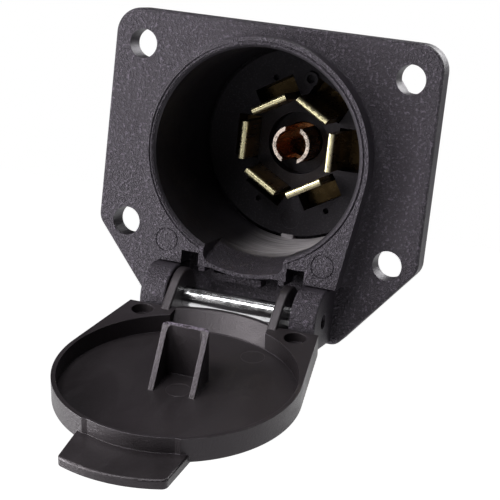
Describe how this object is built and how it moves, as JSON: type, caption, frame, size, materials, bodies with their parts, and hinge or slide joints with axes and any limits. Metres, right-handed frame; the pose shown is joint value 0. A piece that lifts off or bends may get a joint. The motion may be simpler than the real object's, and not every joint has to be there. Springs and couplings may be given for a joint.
{
  "type": "trailer wiring connector",
  "caption": "Flange-mounted trailer wiring socket with flat blade contacts, a centre contact and a hinged cover lid.",
  "frame": {"origin": "centre of the barrel on the flange's back face", "axes": "-Y out of the socket's front, +Y towards the wires, +Z away from the lid's hinge, X across the flange"},
  "size_m": [0.0776, 0.1406, 0.0855],
  "materials": {
    "housing_plastic": "fine pebble texture, black glass-filled nylon",
    "lid_plastic": "satin black moulding",
    "insert_plastic": "smooth dark grey moulding",
    "cover_plastic": "satin black moulding",
    "contact_brass": "stamped, lightly tarnished",
    "pin_steel": "bright plated steel",
    "screw_steel": "zinc plated",
    "seal_rubber": "soft matte"
  },
  "bodies": {
    "socket": {"housing": "housing_plastic", "hinge_pin": "pin_steel", "contact_insert": "insert_plastic", "retainer_plate": "insert_plastic", "blade_1": "contact_brass", "blade_2": "contact_brass", "blade_3": "contact_brass", "blade_4": "contact_brass", "blade_5": "contact_brass", "blade_6": "contact_brass", "centre_contact": "contact_brass", "centre_stud": "contact_brass", "terminal_screws": "screw_steel", "wire_clamps": "screw_steel", "insert_screws": "screw_steel", "rear_cover": "cover_plastic", "cover_gasket": "seal_rubber", "cover_screws": "screw_steel", "grommet": "seal_rubber"},
    "lid": {"lid": "lid_plastic"}
  },
  "joints": [
    {"name": "lid_hinge", "type": "hinge", "parent": "socket", "child": "lid", "pos_m": [0, -0.0131, -0.0342], "axis": [-1, 0, 0], "range_deg": [0, 105]}
  ]
}
